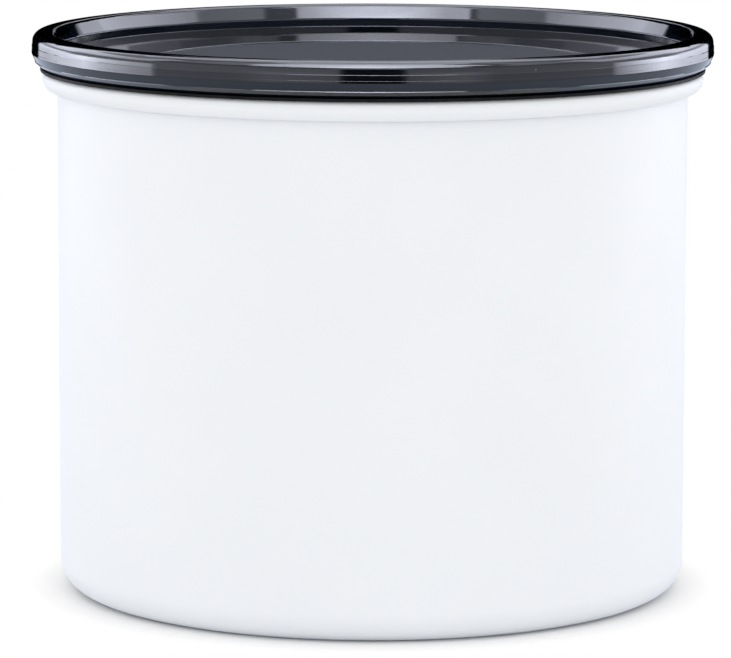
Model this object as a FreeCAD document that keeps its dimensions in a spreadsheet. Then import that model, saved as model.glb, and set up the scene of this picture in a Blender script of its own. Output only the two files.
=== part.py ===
import FreeCAD, Part
import math
import os
import Sketcher
from types import SimpleNamespace

# Coffee canister with a sliding, valved inner lid.
#
# A drawn steel can with a curled rim is closed by a push-on lid of tinted plastic. Inside it a second
# lid slides on the wall like a piston and is pressed down on the coffee. Standing its handle up turns
# a cam, which pushes a valve open so that the air can leave. Folding the handle flat lets a spring
# shut the valve again.
#
# Millimetres, +Z up, origin at the centre of the ring that the can stands on. The outer lid is drawn
# from the crown of the rim, the inner lid from its own underside and the handle from its hinge axis,
# and each is then lifted to its place.

DRIVING_SIZES = {
    # Overall: the lid is the widest piece, and the wall of the can is set in from its edge all round
    "lid_diameter": 130.4,
    "lid_overhang": 4.9,
    # Can: deep-drawn sheet, height to the crown of the curled rim
    "body_height": 100.1,
    "steel_thickness": 0.6,
    "base_corner_radius": 5.5,
    "foot_ring_width": 8.8,
    "base_recess_height": 1.4,
    "base_recess_run": 2.4,
    "base_bend_radius": 1.2,
    "rim_width": 3.5,
    "rim_crown_flat": 0.3,
    "rim_side_height": 0.1,
    "rim_gap": 0.3,
    # Outer lid and its gasket
    "lid_rim_width": 5.4,
    "lid_rim_height": 4.35,
    "lid_slope_width": 1.8,
    "lid_wall_height": 1.45,
    "lid_slope_round": 1.0,
    "lid_crest_round": 1.7,
    "lid_parting_drop": 2.4,
    "lid_draft": 0.1,
    "lid_floor_thickness": 2.05,
    "lid_floor_fall": 1.35,
    "lid_floor_round": 0.8,
    "lid_flank_width": 0.6,
    "lid_flank_height": 1.55,
    "lid_bevel_width": 1.4,
    "lid_bevel_height": 1.25,
    "lid_edge_round": 0.5,
    "lid_lip_width": 1.0,
    "lid_lip_gap": 0.35,
    "lid_panel_diameter": 89.0,
    "lid_panel_recess": 0.3,
    "lid_panel_thickness": 1.6,
    "plug_clearance": 1.8,
    "plug_wall": 1.8,
    "plug_depth": 5.0,
    "plug_bead": 0.8,
    "gasket_thickness": 0.7,
    "gasket_leg_thickness": 1.0,
    "gasket_setback": 0.1,
    "gasket_lip_root": 0.8,
    "gasket_lip_pitch": 1.6,
    # Fits shared by several pieces
    "lip_clearance": 0.2,
    "seat_clearance": 0.05,
    "running_clearance": 0.1,
    "pin_clearance": 0.05,
    "cut_overrun": 1.0,
    # Inner lid: two moulded halves that clamp the wiper seal
    "plunger_level": 30.0,
    "deck_clearance": 3.0,
    "underplate_thickness": 2.4,
    "underplate_edge_round": 1.0,
    "seal_thickness": 1.6,
    "seal_clamp_width": 4.1,
    "seal_band": 1.2,
    "seal_lip_root": 2.0,
    "seal_lip_rise": 1.8,
    "seal_lip_tip": 0.5,
    "deck_thickness": 2.4,
    "deck_wall_thickness": 2.4,
    "deck_wall_height": 5.6,
    "deck_corner_round": 1.6,
    "deck_edge_round": 0.9,
    "collar_width": 3.4,
    "collar_height": 2.0,
    "rib_thickness": 1.8,
    "rib_height": 2.5,
    "rib_collar_gap": 4.0,
    "rib_slope_run": 6.0,
    "rib_slope_round": 3.0,
    # Screws that hold the halves together
    "screw_inset": 14.7,
    "screw_diameter": 3.0,
    "screw_head_diameter": 5.8,
    "screw_length": 7.6,
    "screw_tip": 0.6,
    "screw_sink": 0.2,
    "screw_clearance": 0.2,
    "boss_wall": 2.1,
    "boss_cap": 1.2,
    # Valve
    "valve_port_diameter": 14.0,
    "valve_pocket_diameter": 25.0,
    "valve_seat_thickness": 1.2,
    "valve_lift": 2.5,
    "valve_seal_overlap": 3.5,
    "valve_seal_thickness": 1.6,
    "washer_setback": 2.5,
    "washer_thickness": 0.8,
    "stem_diameter": 4.0,
    "stem_head_diameter": 13.4,
    "stem_head_thickness": 1.6,
    "stem_head_round": 0.5,
    "stem_tail": 0.6,
    "clip_thickness": 0.6,
    "clip_groove_depth": 0.5,
    "clip_width": 1.6,
    "housing_diameter": 18.6,
    "housing_wall": 1.7,
    "housing_floor": 1.6,
    "housing_height": 6.0,
    "housing_flange_width": 2.8,
    "housing_flange_thickness": 1.8,
    "guide_wall": 1.9,
    "guide_height": 1.4,
    "vent_diameter": 2.0,
    "oring_section": 1.0,
    "oring_groove_width": 1.5,
    "spring_wire_diameter": 0.7,
    "spring_length": 5.2,
    # Handle, its cam and its hinge
    "pin_diameter": 3.0,
    "pin_head_diameter": 5.0,
    "pin_head_thickness": 1.0,
    "pin_tail": 0.8,
    "barrel_diameter": 6.8,
    "barrel_shoulder": 0.6,
    "cam_diameter": 10.4,
    "cam_width": 8.0,
    "cam_clearance": 0.15,
    "arm_spacing": 16.0,
    "arm_straight": 9.5,
    "grip_side_run": 15.0,
    "handle_reach": 35.0,
    "grip_width": 54.0,
    "grip_section_width": 6.0,
    "grip_section_height": 4.6,
    "grip_section_round": 2.0,
    "flare_bend": 6.0,
    "grip_bend": 9.0,
    "ear_gap": 0.4,
    "ear_thickness": 4.0,
    "ear_radius": 4.4,
    "ear_top_flat": 0.8,
    "ear_base_flare": 2.2,
    "rest_diameter": 5.0,
    "rest_spacing": 30.0,
    "rest_gap": 0.3,
}

# Counts, and angles in degrees
RIB_COUNT = 6
SCREW_COUNT = 6
VENT_COUNT = 6
SPRING_TURNS = 3.5
FULL_TURN = 360.0
CLIP_SWEEP = 290.0
QUARTERS_PER_TURN = 4


class Size:
    """A length: its value now, and the expression that ties it to the sheet."""

    def __init__(self, value, text):
        self.value = value
        self.text = text

    def joined(self, other, value, sign):
        return Size(value, f"({self.text} {sign} {other.text})")

    def __add__(self, other):
        other = as_size(other)
        return self.joined(other, self.value + other.value, "+")

    def __sub__(self, other):
        other = as_size(other)
        return self.joined(other, self.value - other.value, "-")

    def __mul__(self, other):
        other = as_size(other)
        return self.joined(other, self.value * other.value, "*")

    def __truediv__(self, other):
        other = as_size(other)
        return self.joined(other, self.value / other.value, "/")

    def __neg__(self):
        return as_size(0) - self


def as_size(number):
    if isinstance(number, Size):
        return number
    return Size(float(number), str(number))


def make_sheet():
    """Writes the driving sizes to a sheet, each in a cell with its own alias."""
    sheet = doc.addObject("Spreadsheet::Sheet", "Sizes")
    for row, (name, length) in enumerate(DRIVING_SIZES.items(), start=1):
        sheet.set(f"A{row}", name)
        sheet.set(f"B{row}", str(length))
        sheet.setAlias(f"B{row}", name)
    doc.recompute()
    return SimpleNamespace(**{name: Size(sheet.get(name), f"Sizes.{name}") for name in DRIVING_SIZES})


# Drawing tools

def bind(target, prop, size):
    target.setExpression(prop, as_size(size).text)


def new_body(label, level=None):
    """Starts a sub-part, lifted to the level of the assembly that it belongs to."""
    body = doc.addObject("PartDesign::Body", label)
    body.Label = label
    if level is not None:
        bind(body, "Placement.Base.z", level)
    sub_parts.append(body)
    return body


def origin_feature(body, role):
    return next(feature for feature in body.Origin.OriginFeatures if feature.Role == role)


def sketch_on(body, plane, lift=None):
    """Adds a sketch on an origin plane of the body, lifted along that plane's normal."""
    sketch = body.newObject("Sketcher::SketchObject", f"{body.Label}_sketch")
    sketch.AttachmentSupport = [(origin_feature(body, plane), "")]
    sketch.MapMode = "FlatFace"
    if lift is not None:
        bind(sketch, "AttachmentOffset.Base.z", lift)
    return sketch


def drive(sketch, size, kind, *references):
    """Adds a constraint whose value follows a size."""
    size = as_size(size)
    index = sketch.addConstraint(Sketcher.Constraint(kind, *references, size.value))
    bind(sketch, f"Constraints[{index}]", size)


def pin_point(sketch, geometry, vertex, x, y):
    """Ties a point of the sketch to the sketch's origin."""
    drive(sketch, x, "DistanceX", -1, 1, geometry, vertex)
    drive(sketch, y, "DistanceY", -1, 1, geometry, vertex)


def vector(x, y):
    return FreeCAD.Vector(as_size(x).value, as_size(y).value, 0)


def toward(start, end):
    return (end - start).normalize()


def rounded_corner(before, corner, after, radius):
    """Gives the start, middle and end of the arc that rounds a corner."""
    inward, outward = toward(corner, before), toward(corner, after)
    half_angle = inward.getAngle(outward) / 2
    run = radius / math.tan(half_angle)
    middle = toward(FreeCAD.Vector(), inward + outward) * (radius / math.sin(half_angle) - radius)
    return corner + inward * run, corner + middle, corner + outward * run


def draw(sketch, corners, closed=True):
    """Draws straight runs through corners given as (x, y), or (x, y, radius) for a rounded one."""
    count = len(corners)
    points = [vector(*corner[:2]) for corner in corners]
    arcs = {}
    for place, corner in enumerate(corners):
        if len(corner) == 3:
            neighbours = points[place - 1], points[place], points[(place + 1) % count]
            arcs[place] = rounded_corner(*neighbours, as_size(corner[2]).value)
    runs = []
    for place in range(count if closed else count - 1):
        following = (place + 1) % count
        start = arcs[place][2] if place in arcs else points[place]
        end = arcs[following][0] if following in arcs else points[following]
        runs.append(sketch.addGeometry(Part.LineSegment(start, end)))
    for place, corner in enumerate(corners):
        leaving = runs[place] if place < len(runs) else None
        arriving = runs[place - 1] if closed or place > 0 else None
        if place in arcs:
            arc = sketch.addGeometry(Part.Arc(*arcs[place]))
            first_is_start = sketch.getPoint(arc, 1).distanceToPoint(arcs[place][0]) < \
                sketch.getPoint(arc, 2).distanceToPoint(arcs[place][0])
            entry, departure = (1, 2) if first_is_start else (2, 1)
            sketch.addConstraint(Sketcher.Constraint("Tangent", arriving, 2, arc, entry))
            sketch.addConstraint(Sketcher.Constraint("Tangent", arc, departure, leaving, 1))
            drive(sketch, corner[2], "Radius", arc)
            mark = sketch.addGeometry(Part.Point(points[place]), True)
            sketch.addConstraint(Sketcher.Constraint("PointOnObject", mark, 1, arriving))
            sketch.addConstraint(Sketcher.Constraint("PointOnObject", mark, 1, leaving))
            pin_point(sketch, mark, 1, *corner[:2])
        elif leaving is None:
            pin_point(sketch, arriving, 2, *corner[:2])
        else:
            if arriving is not None:
                sketch.addConstraint(Sketcher.Constraint("Coincident", arriving, 2, leaving, 1))
            pin_point(sketch, leaving, 1, *corner[:2])


def draw_circle(sketch, x, y, radius):
    circle = sketch.addGeometry(Part.Circle(vector(x, y), FreeCAD.Vector(0, 0, 1), as_size(radius).value))
    pin_point(sketch, circle, 3, x, y)
    drive(sketch, radius, "Radius", circle)


def draw_axis(sketch, x, low, high):
    """Draws an upright turning axis at x as construction geometry, the sketch's first axis."""
    axis = sketch.addGeometry(Part.LineSegment(vector(x, low), vector(x, high)), True)
    pin_point(sketch, axis, 1, x, low)
    pin_point(sketch, axis, 2, x, high)


def add_feature(body, kind, sketch, **settings):
    feature = body.newObject(f"PartDesign::{kind}", f"{body.Label}_{kind.lower()}")
    feature.Profile = sketch
    for name, setting in settings.items():
        setattr(feature, name, setting)
    return feature


def turn(body, corners, plane="XZ_Plane", axis="V_Axis", sweep=FULL_TURN):
    """Turns an outline about an axis of its sketch."""
    sketch = sketch_on(body, plane)
    draw(sketch, corners)
    return add_feature(body, "Revolution", sketch, ReferenceAxis=(sketch, [axis]), Angle=sweep)


def turn_aside(body, kind, corners, centre, low, high):
    """Turns an outline on the YZ plane about an upright axis that stands aside from the centre."""
    sketch = sketch_on(body, "YZ_Plane")
    draw_axis(sketch, centre, low, high)
    draw(sketch, corners)
    return add_feature(body, kind, sketch, ReferenceAxis=(sketch, ["Axis0"]), Angle=FULL_TURN)


def pad(body, sketch, length, side="One side"):
    feature = add_feature(body, "Pad", sketch, SideType=side)
    bind(feature, "Length", length)
    return feature


def cut(body, sketch, length, side="One side", upward=False):
    feature = add_feature(body, "Pocket", sketch, SideType=side, Reversed=upward)
    bind(feature, "Length", length)
    return feature


def repeat_round(body, features, count):
    """Repeats features around the body's upright axis."""
    doc.recompute()
    pattern = body.newObject("PartDesign::PolarPattern", f"{body.Label}_round")
    pattern.Originals = features
    pattern.Axis = (origin_feature(body, "Z_Axis"), [""])
    pattern.Angle = FULL_TURN
    pattern.Occurrences = count
    body.Tip = pattern
    return pattern


# Sizes that more than one piece takes up

def work_out_shared():
    """Works out the radii and levels at which the pieces meet."""
    m = SimpleNamespace()
    m.lid_outer = size.lid_diameter / 2
    m.lid_flank = m.lid_outer - size.lid_flank_width
    m.lid_lip = m.lid_flank - size.lid_bevel_width
    m.gasket_rebate = m.lid_lip - size.lid_lip_width
    m.can_outer = m.lid_outer - size.lid_overhang
    m.can_inner = m.can_outer - size.steel_thickness
    m.lip_radius = m.can_inner - size.lip_clearance
    m.plug_outer = m.can_inner - size.plug_clearance

    m.deck_radius = m.can_inner - size.deck_clearance
    m.seal_inner = m.deck_radius - size.seal_clamp_width
    m.deck_base = size.underplate_thickness + size.seal_thickness
    m.deck_top = m.deck_base + size.deck_thickness
    m.screw_radius = size.screw_diameter / 2
    m.screw_head_radius = size.screw_head_diameter / 2
    m.screw_place = m.deck_radius - size.screw_inset
    m.screw_neck = size.screw_sink + m.screw_head_radius - m.screw_radius

    m.port_radius = size.valve_port_diameter / 2
    m.valve_seat = m.deck_base - size.valve_seat_thickness
    m.seal_foot = m.valve_seat - size.valve_seal_thickness
    m.washer_foot = m.seal_foot - size.washer_thickness
    m.clip_foot = m.washer_foot - size.clip_thickness
    m.stem_radius = size.stem_diameter / 2
    m.stem_groove = m.stem_radius - size.clip_groove_depth
    m.housing_outer = size.housing_diameter / 2
    m.housing_inner = m.housing_outer - size.housing_wall
    m.housing_flange = m.housing_outer + size.housing_flange_width
    m.housing_floor = m.deck_base + size.housing_floor
    m.guide_bore = m.stem_radius + size.running_clearance
    m.guide_outer = m.guide_bore + size.guide_wall
    m.coil_radius = (m.guide_outer + m.housing_inner) / 2
    m.oring_place = (m.housing_outer + m.housing_flange) / 2
    m.stem_head_foot = m.housing_floor + size.spring_length
    m.stem_head_top = m.stem_head_foot + size.stem_head_thickness

    m.cam_radius = size.cam_diameter / 2
    m.axis_level = m.stem_head_top + size.cam_clearance + m.cam_radius - size.valve_lift / 2
    m.pin_radius = size.pin_diameter / 2
    m.arm_place = size.arm_spacing / 2
    m.barrel_end = m.arm_place + size.grip_section_width / 2 + size.barrel_shoulder
    m.ear_inner = m.barrel_end + size.ear_gap
    m.ear_outer = m.ear_inner + size.ear_thickness
    return m


# Can

def make_canister_shell():
    """Drawn can: standing ring, raised base, straight wall and a hollow curl round the mouth."""
    body = new_body("canister_shell")
    wall = size.steel_thickness
    crown = size.body_height
    bead = meet.can_inner + size.rim_width
    crown_radius = (size.rim_width - size.rim_crown_flat) / 2
    curl_end = meet.can_outer + size.rim_gap
    curl_radius = bead - curl_end - size.rim_crown_flat
    curl_foot = crown - crown_radius - size.rim_side_height - curl_radius
    foot_inner = meet.can_outer - size.base_corner_radius - size.foot_ring_width
    recess_edge = foot_inner - size.base_recess_run
    recess = size.base_recess_height
    bend = size.base_bend_radius
    turn(body, [
        (0, recess),
        (recess_edge, recess, bend),
        (foot_inner, 0, bend),
        (meet.can_outer, 0, size.base_corner_radius),
        (meet.can_outer, crown - wall, crown_radius - wall),
        (bead - wall, crown - wall, crown_radius - wall),
        (bead - wall, curl_foot + wall, curl_radius - wall),
        (curl_end, curl_foot + wall),
        (curl_end, curl_foot),
        (bead, curl_foot, curl_radius),
        (bead, crown, crown_radius),
        (meet.can_inner, crown, crown_radius),
        (meet.can_inner, wall, size.base_corner_radius - wall),
        (foot_inner, wall, bend),
        (recess_edge, recess + wall, bend),
        (0, recess + wall),
    ])


# Outer lid

def make_outer_lid():
    """Tinted lid: dished floor, thick bevelled rim with a lip round the gasket, and a plug in the mouth."""
    body = new_body("outer_lid", size.body_height)
    seat = size.gasket_thickness
    rim_inner = meet.lid_outer - size.lid_rim_width
    face = meet.lid_outer - size.lid_draft
    floor = seat + size.lid_floor_thickness
    crest = floor + size.lid_rim_height
    lip_foot = size.lid_lip_gap
    flank_foot = lip_foot + size.lid_bevel_height
    panel_edge = size.lid_panel_diameter / 2
    panel_rim = floor - size.lid_floor_fall
    panel = panel_rim - size.lid_panel_recess
    underside = panel - size.lid_panel_thickness
    plug_inner = meet.plug_outer - size.plug_wall
    plug_foot = -size.plug_depth
    bead_top = plug_foot + size.plug_bead
    bead_radius = meet.plug_outer + size.plug_bead
    turn(body, [
        (0, panel),
        (panel_edge, panel),
        (panel_edge, panel_rim),
        (rim_inner, floor, size.lid_floor_round),
        (rim_inner, floor + size.lid_wall_height),
        (rim_inner + size.lid_slope_width, crest, size.lid_slope_round),
        (face, crest, size.lid_crest_round),
        (meet.lid_outer, crest - size.lid_parting_drop),
        (face, flank_foot + size.lid_flank_height, size.lid_edge_round),
        (meet.lid_flank, flank_foot),
        (meet.lid_lip, lip_foot),
        (meet.gasket_rebate, lip_foot),
        (meet.gasket_rebate, seat),
        (meet.plug_outer, seat),
        (meet.plug_outer, bead_top),
        (bead_radius, bead_top),
        (bead_radius, plug_foot),
        (plug_inner, plug_foot),
        (plug_inner, underside, size.lid_floor_round),
        (0, underside),
    ])


def make_outer_lid_gasket():
    """Silicone ring: a flange nipped between lid and rim, and a leg with two lips round the plug."""
    body = new_body("outer_lid_gasket", size.body_height)
    leg_inner = meet.plug_outer + size.seat_clearance
    leg_outer = leg_inner + size.gasket_leg_thickness
    flange = meet.gasket_rebate - size.gasket_setback
    leg_foot = size.plug_bead + size.seat_clearance - size.plug_depth
    lips = []
    for lip_foot in (leg_foot, leg_foot + size.gasket_lip_pitch):
        lip_top = lip_foot + size.gasket_lip_root
        lips += [(leg_outer, lip_foot), (meet.lip_radius, lip_top), (leg_outer, lip_top)]
    turn(body, [
        (leg_inner, leg_foot),
        *lips,
        (leg_outer, 0),
        (flange, 0),
        (flange, size.gasket_thickness),
        (leg_inner, size.gasket_thickness),
    ])


# Inner lid

def make_plunger_underplate():
    """Lower half: flat underside, clamping step, valve seat and countersunk holes."""
    body = new_body("plunger_underplate", size.plunger_level)
    step_radius = meet.seal_inner - size.seat_clearance
    pocket_radius = size.valve_pocket_diameter / 2
    turn(body, [
        (meet.port_radius, meet.valve_seat),
        (pocket_radius, meet.valve_seat),
        (pocket_radius, 0),
        (meet.deck_radius, 0, size.underplate_edge_round),
        (meet.deck_radius, size.underplate_thickness),
        (step_radius, size.underplate_thickness),
        (step_radius, meet.deck_base),
        (meet.port_radius, meet.deck_base),
    ])
    low = -size.cut_overrun
    high = meet.deck_base + size.cut_overrun
    head_edge = meet.screw_place + meet.screw_head_radius + size.screw_clearance
    shank_edge = meet.screw_place + meet.screw_radius + size.screw_clearance
    hole = turn_aside(body, "Groove", [
        (meet.screw_place, low),
        (head_edge, low),
        (head_edge, size.screw_sink),
        (shank_edge, meet.screw_neck),
        (shank_edge, high),
        (meet.screw_place, high),
    ], meet.screw_place, low, high)
    repeat_round(body, [hole], SCREW_COUNT)


def make_plunger_deck():
    """Upper half: plate with an upstand, hinge ears, ribs, screw bosses and rests for the handle."""
    body = new_body("plunger_deck", size.plunger_level)
    wall_inner = meet.deck_radius - size.deck_wall_thickness
    wall_top = meet.deck_top + size.deck_wall_height
    hole = meet.housing_outer + size.seat_clearance
    collar = hole + size.collar_width
    collar_top = meet.deck_top + size.collar_height
    counterbore = meet.housing_flange + size.seat_clearance
    counterbore_top = meet.deck_base + size.housing_flange_thickness
    root = meet.deck_base + size.deck_thickness / 2
    turn(body, [
        (hole, counterbore_top),
        (hole, collar_top),
        (collar, collar_top),
        (collar, meet.deck_top),
        (wall_inner, meet.deck_top, size.deck_corner_round),
        (wall_inner, wall_top, size.deck_edge_round),
        (meet.deck_radius, wall_top, size.deck_edge_round),
        (meet.deck_radius, meet.deck_base),
        (counterbore, meet.deck_base),
        (counterbore, counterbore_top),
    ])

    rib_start = collar + size.rib_collar_gap
    rib_end = meet.deck_radius - size.deck_wall_thickness / 2
    rib_top = meet.deck_top + size.rib_height
    sketch = sketch_on(body, "XZ_Plane")
    draw(sketch, [
        (rib_start, root),
        (rib_end, root),
        (rib_end, rib_top),
        (rib_start + size.rib_slope_run, rib_top, size.rib_slope_round),
        (rib_start, meet.deck_top),
    ])
    rib = pad(body, sketch, size.rib_thickness, side="Symmetric")
    repeat_round(body, [rib], RIB_COUNT)

    pilot_top = size.screw_sink + size.screw_length + size.running_clearance
    sketch = sketch_on(body, "XY_Plane", root)
    draw_circle(sketch, 0, meet.screw_place, meet.screw_radius + size.boss_wall)
    boss = pad(body, sketch, pilot_top + size.boss_cap - root)
    repeat_round(body, [boss], SCREW_COUNT)
    sketch = sketch_on(body, "XY_Plane", meet.deck_base)
    draw_circle(sketch, 0, meet.screw_place, meet.screw_radius + size.seat_clearance)
    pilot = cut(body, sketch, pilot_top - meet.deck_base, upward=True)
    repeat_round(body, [pilot], SCREW_COUNT)

    ear_base = size.ear_radius + size.ear_base_flare
    ear_root = (counterbore_top + meet.deck_top) / 2
    ear_top = meet.axis_level + size.ear_radius
    ear_round = size.ear_radius - size.ear_top_flat / 2
    sketch = sketch_on(body, "YZ_Plane", meet.ear_inner)
    draw(sketch, [
        (-ear_base, ear_root),
        (ear_base, ear_root),
        (size.ear_radius, meet.axis_level - size.ear_radius),
        (size.ear_radius, ear_top, ear_round),
        (-size.ear_radius, ear_top, ear_round),
        (-size.ear_radius, meet.axis_level - size.ear_radius),
    ])
    ear = pad(body, sketch, size.ear_thickness)
    doc.recompute()
    pair = body.newObject("PartDesign::Mirrored", f"{body.Label}_pair")
    pair.Originals = [ear]
    pair.MirrorPlane = (origin_feature(body, "YZ_Plane"), [""])
    body.Tip = pair
    sketch = sketch_on(body, "YZ_Plane")
    draw_circle(sketch, 0, meet.axis_level, meet.pin_radius + size.seat_clearance)
    cut(body, sketch, (meet.ear_outer + size.cut_overrun) * 2, side="Symmetric")

    rest_top = meet.axis_level - size.grip_section_height / 2 - size.rest_gap
    sketch = sketch_on(body, "XY_Plane", root)
    for side in (-1, 1):
        draw_circle(sketch, size.rest_spacing / 2 * side, size.handle_reach, size.rest_diameter / 2)
    pad(body, sketch, rest_top - root)


def make_wiper_seal():
    """Silicone ring: a flange clamped between the halves, and lips that wipe the wall both ways."""
    body = new_body("wiper_seal", size.plunger_level)
    band_inner = meet.deck_radius + size.seat_clearance
    band_outer = band_inner + size.seal_band
    flange_foot = size.underplate_thickness
    flange_top = meet.deck_base
    tip_inner = meet.lip_radius - size.seal_lip_tip
    low_root = flange_foot - size.seal_lip_root
    high_root = flange_top + size.seal_lip_root
    turn(body, [
        (meet.seal_inner, flange_foot),
        (band_inner, flange_foot),
        (band_inner, low_root),
        (tip_inner, low_root - size.seal_lip_rise),
        (meet.lip_radius, low_root - size.seal_lip_rise + size.seal_lip_tip),
        (band_outer, flange_foot),
        (band_outer, flange_top),
        (meet.lip_radius, high_root + size.seal_lip_rise - size.seal_lip_tip),
        (tip_inner, high_root + size.seal_lip_rise),
        (band_inner, high_root),
        (band_inner, flange_top),
        (meet.seal_inner, flange_top),
    ])


def make_underplate_screws():
    """Countersunk screws, driven from below into the bosses of the deck."""
    body = new_body("underplate_screws", size.plunger_level)
    head = size.screw_sink
    end = head + size.screw_length
    centre = meet.screw_place
    screw = turn_aside(body, "Revolution", [
        (centre, head),
        (centre + meet.screw_head_radius, head),
        (centre + meet.screw_radius, meet.screw_neck),
        (centre + meet.screw_radius, end - size.screw_tip),
        (centre + meet.screw_radius - size.screw_tip, end),
        (centre, end),
    ], centre, head, end)
    repeat_round(body, [screw], SCREW_COUNT)


# Valve

def make_valve_housing():
    """Cup clamped under the deck: guides the stem, seats the spring and lets the air through."""
    body = new_body("valve_housing", size.plunger_level)
    base = meet.deck_base
    groove_inner = meet.oring_place - size.oring_groove_width / 2
    groove_outer = meet.oring_place + size.oring_groove_width / 2
    groove_top = base + size.oring_section
    flange_top = base + size.housing_flange_thickness
    cup_top = base + size.housing_height
    guide_top = meet.housing_floor + size.guide_height
    turn(body, [
        (meet.guide_bore, base),
        (groove_inner, base),
        (groove_inner, groove_top),
        (groove_outer, groove_top),
        (groove_outer, base),
        (meet.housing_flange, base),
        (meet.housing_flange, flange_top),
        (meet.housing_outer, flange_top),
        (meet.housing_outer, cup_top),
        (meet.housing_inner, cup_top),
        (meet.housing_inner, meet.housing_floor),
        (meet.guide_outer, meet.housing_floor),
        (meet.guide_outer, guide_top),
        (meet.guide_bore, guide_top),
    ])
    sketch = sketch_on(body, "XY_Plane", base)
    draw_circle(sketch, 0, meet.coil_radius, size.vent_diameter / 2)
    vent = cut(body, sketch, size.housing_floor, upward=True)
    repeat_round(body, [vent], VENT_COUNT)


def make_housing_oring():
    """Round ring in the groove under the flange of the cup."""
    ring = doc.addObject("Part::Torus", "housing_oring")
    ring.Label = "housing_oring"
    bind(ring, "Radius1", meet.oring_place)
    bind(ring, "Radius2", size.oring_section / 2 - size.seat_clearance)
    bind(ring, "Placement.Base.z", size.plunger_level + meet.deck_base + size.oring_section / 2)
    sub_parts.append(ring)


def make_valve_stem():
    """Turned stem: a round head for the cam to press on, and a groove for its clip."""
    body = new_body("valve_stem", size.plunger_level)
    foot = meet.clip_foot - size.seat_clearance - size.stem_tail
    head = size.stem_head_diameter / 2
    turn(body, [
        (0, foot),
        (meet.stem_radius, foot),
        (meet.stem_radius, meet.clip_foot - size.seat_clearance),
        (meet.stem_groove, meet.clip_foot - size.seat_clearance),
        (meet.stem_groove, meet.washer_foot),
        (meet.stem_radius, meet.washer_foot),
        (meet.stem_radius, meet.stem_head_foot),
        (head, meet.stem_head_foot),
        (head, meet.stem_head_top, size.stem_head_round),
        (0, meet.stem_head_top),
    ])


def make_ring(label, inner, outer, low, high, sweep=FULL_TURN):
    """Flat ring round the stem, whole or open at one side."""
    body = new_body(label, size.plunger_level)
    turn(body, [(inner, low), (outer, low), (outer, high), (inner, high)], sweep=sweep)


def make_valve_rings():
    """Silicone disc that closes the port, the washer behind it and the clip that holds both."""
    bore = meet.stem_radius + size.seat_clearance
    seal_radius = meet.port_radius + size.valve_seal_overlap
    washer_radius = seal_radius - size.washer_setback
    clip_bore = meet.stem_groove + size.seat_clearance
    make_ring("valve_seal", bore, seal_radius, meet.seal_foot, meet.valve_seat)
    make_ring("seal_washer", bore, washer_radius, meet.washer_foot, meet.seal_foot)
    make_ring("stem_clip", clip_bore, clip_bore + size.clip_width, meet.clip_foot, meet.washer_foot, CLIP_SWEEP)


def coil_point(radius, pitch, low, turns):
    angle = math.tau * turns
    return FreeCAD.Vector(radius * math.cos(angle), radius * math.sin(angle), low + pitch * turns)


def coil_direction(radius, pitch, turns):
    angle = math.tau * turns
    slope = pitch / math.tau
    return FreeCAD.Vector(-radius * math.sin(angle), radius * math.cos(angle), slope).normalize()


def tangent_arc(start, direction, end):
    """Makes the arc that leaves start along a direction and reaches end."""
    chord = end - start
    sideways = chord - direction * chord.dot(direction)
    radius = chord.dot(chord) / (2 * sideways.Length)
    centre = start + sideways.normalize() * radius
    middle = centre + ((start - centre) + (end - centre)).normalize() * radius
    return Part.Arc(start, middle, end).toShape()


def biarc(start, start_direction, end, end_direction):
    """Makes two arcs that meet smoothly and keep the directions at both ends."""
    chord = end - start
    along = chord.dot(start_direction + end_direction)
    spread = 2 * (1 - start_direction.dot(end_direction))
    reach = (math.sqrt(along * along + spread * chord.dot(chord)) - along) / spread
    joint = (start + start_direction * reach + end - end_direction * reach) * 0.5
    second = tangent_arc(end, -end_direction, joint)
    return [tangent_arc(start, start_direction, joint), second]


def print_coil_gap(radius, pitch, low, wire_diameter):
    """Measures the least gap between turns of the coil on points along it."""
    samples_per_turn = 72
    count = int(SPRING_TURNS * samples_per_turn) + 1
    points = [coil_point(radius, pitch, low, step / samples_per_turn) for step in range(count)]
    apart = samples_per_turn // 2
    gaps = [
        points[first].distanceToPoint(points[second])
        for first in range(count)
        for second in range(first + apart, count)
    ]
    print(f"valve_spring: least gap between turns {min(gaps) - wire_diameter:.2f} mm")


def make_valve_spring():
    """Compression spring round the guide, from the floor of the cup to the head of the stem."""
    wire = size.spring_wire_diameter.value
    clearance = size.seat_clearance.value
    radius = meet.coil_radius.value
    low = meet.housing_floor.value + wire / 2 + clearance
    high = meet.stem_head_foot.value - wire / 2 - clearance
    pitch = (high - low) / SPRING_TURNS
    edges = []
    for quarter in range(round(SPRING_TURNS * QUARTERS_PER_TURN)):
        ends = [(quarter + share) / QUARTERS_PER_TURN for share in (0, 1)]
        start, end = [coil_point(radius, pitch, low, turns) for turns in ends]
        leaving, arriving = [coil_direction(radius, pitch, turns) for turns in ends]
        edges += biarc(start, leaving, end, arriving)
    first = coil_point(radius, pitch, low, 0)
    section = Part.Circle(first, coil_direction(radius, pitch, 0), wire / 2)
    shell = Part.BRepOffsetAPI.MakePipeShell(Part.Wire(edges))
    shell.add(Part.Wire(section.toShape()))
    shell.build()
    shell.makeSolid()
    spring = doc.addObject("Part::Feature", "valve_spring")
    spring.Label = "valve_spring"
    spring.Shape = shell.shape()
    spring.Placement.Base.z = size.plunger_level.value
    sub_parts.append(spring)
    print_coil_gap(radius, pitch, low, wire)


# Handle and hinge

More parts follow.
